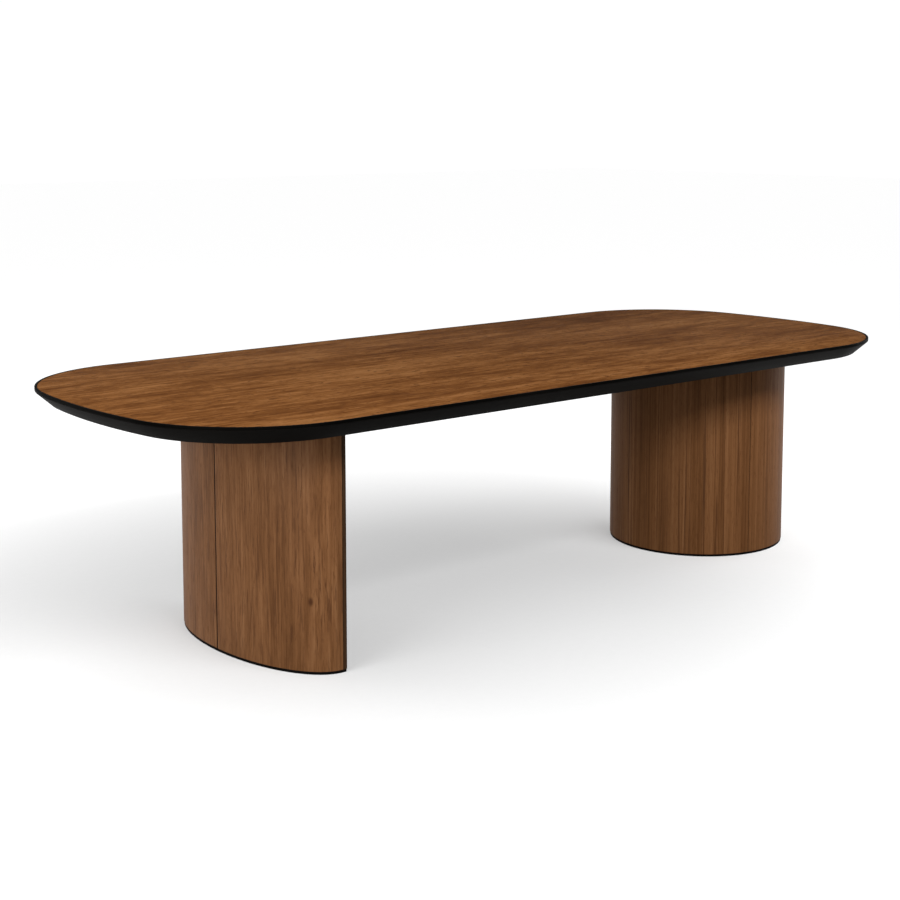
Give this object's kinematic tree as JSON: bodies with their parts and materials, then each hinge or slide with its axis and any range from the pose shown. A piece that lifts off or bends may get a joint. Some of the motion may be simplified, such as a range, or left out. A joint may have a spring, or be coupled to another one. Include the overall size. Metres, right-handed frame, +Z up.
{
  "type": "conference table",
  "caption": "Long conference table with bowed ends, walnut veneered top with a dark reverse-bevelled edge, carried by a half-oval panel leg and a round drum leg.",
  "frame": {"origin": "centre of the bounding box at the floor, under the middle of the top", "axes": "+X along the length towards the drum leg, +Y towards the back long side, +Z up"},
  "size_m": [2.88, 1.2, 0.75],
  "materials": {
    "walnut": "satin",
    "black_edge": "satin lacquer",
    "dark_underside": "satin lacquer",
    "plywood": "raw",
    "steel": "brushed",
    "nylon": "matt"
  },
  "bodies": {
    "table": {"back_stiffening_rail": "steel", "front_stiffening_rail": "steel", "left_leg_back_panel": "black_edge", "left_leg_back_shell": "walnut", "left_leg_bolt_1": "steel", "left_leg_bolt_2": "steel", "left_leg_bolt_3": "steel", "left_leg_bolt_4": "steel", "left_leg_bottom_former": "plywood", "left_leg_front_shell": "walnut", "left_leg_glide_insert_1": "steel", "left_leg_glide_insert_2": "steel", "left_leg_glide_insert_3": "steel", "left_leg_glide_insert_4": "steel", "left_leg_mid_former": "plywood", "left_leg_mounting_plate": "steel", "left_leg_plinth": "black_edge", "left_leg_seam_batten": "plywood", "left_leg_top_former": "plywood", "right_leg_back_seam_batten": "plywood", "right_leg_bolt_1": "steel", "right_leg_bolt_2": "steel", "right_leg_bolt_3": "steel", "right_leg_bolt_4": "steel", "right_leg_bottom_former": "plywood", "right_leg_front_seam_batten": "plywood", "right_leg_glide_insert_1": "steel", "right_leg_glide_insert_2": "steel", "right_leg_glide_insert_3": "steel", "right_leg_glide_insert_4": "steel", "right_leg_inner_shell": "walnut", "right_leg_mid_former": "plywood", "right_leg_mounting_plate": "steel", "right_leg_outer_shell": "walnut", "right_leg_plinth": "black_edge", "right_leg_top_former": "plywood", "top_bevelled_core": "dark_underside", "top_edge_band": "black_edge", "top_veneered_board": "walnut"},
    "left_glide_1": {"left_leg_glide_pad_1": "nylon", "left_leg_glide_stem_1": "steel"},
    "left_glide_2": {"left_leg_glide_pad_2": "nylon", "left_leg_glide_stem_2": "steel"},
    "left_glide_3": {"left_leg_glide_pad_3": "nylon", "left_leg_glide_stem_3": "steel"},
    "left_glide_4": {"left_leg_glide_pad_4": "nylon", "left_leg_glide_stem_4": "steel"},
    "right_glide_1": {"right_leg_glide_pad_1": "nylon", "right_leg_glide_stem_1": "steel"},
    "right_glide_2": {"right_leg_glide_pad_2": "nylon", "right_leg_glide_stem_2": "steel"},
    "right_glide_3": {"right_leg_glide_pad_3": "nylon", "right_leg_glide_stem_3": "steel"},
    "right_glide_4": {"right_leg_glide_pad_4": "nylon", "right_leg_glide_stem_4": "steel"}
  },
  "joints": [
    {"name": "left_glide_1_screw", "type": "slide", "parent": "table", "child": "left_glide_1", "axis": [0, 0, -1], "range_m": [0, 0.012]},
    {"name": "left_glide_2_screw", "type": "slide", "parent": "table", "child": "left_glide_2", "axis": [0, 0, -1], "range_m": [0, 0.012]},
    {"name": "left_glide_3_screw", "type": "slide", "parent": "table", "child": "left_glide_3", "axis": [0, 0, -1], "range_m": [0, 0.012]},
    {"name": "left_glide_4_screw", "type": "slide", "parent": "table", "child": "left_glide_4", "axis": [0, 0, -1], "range_m": [0, 0.012]},
    {"name": "right_glide_1_screw", "type": "slide", "parent": "table", "child": "right_glide_1", "axis": [0, 0, -1], "range_m": [0, 0.012]},
    {"name": "right_glide_2_screw", "type": "slide", "parent": "table", "child": "right_glide_2", "axis": [0, 0, -1], "range_m": [0, 0.012]},
    {"name": "right_glide_3_screw", "type": "slide", "parent": "table", "child": "right_glide_3", "axis": [0, 0, -1], "range_m": [0, 0.012]},
    {"name": "right_glide_4_screw", "type": "slide", "parent": "table", "child": "right_glide_4", "axis": [0, 0, -1], "range_m": [0, 0.012]}
  ]
}
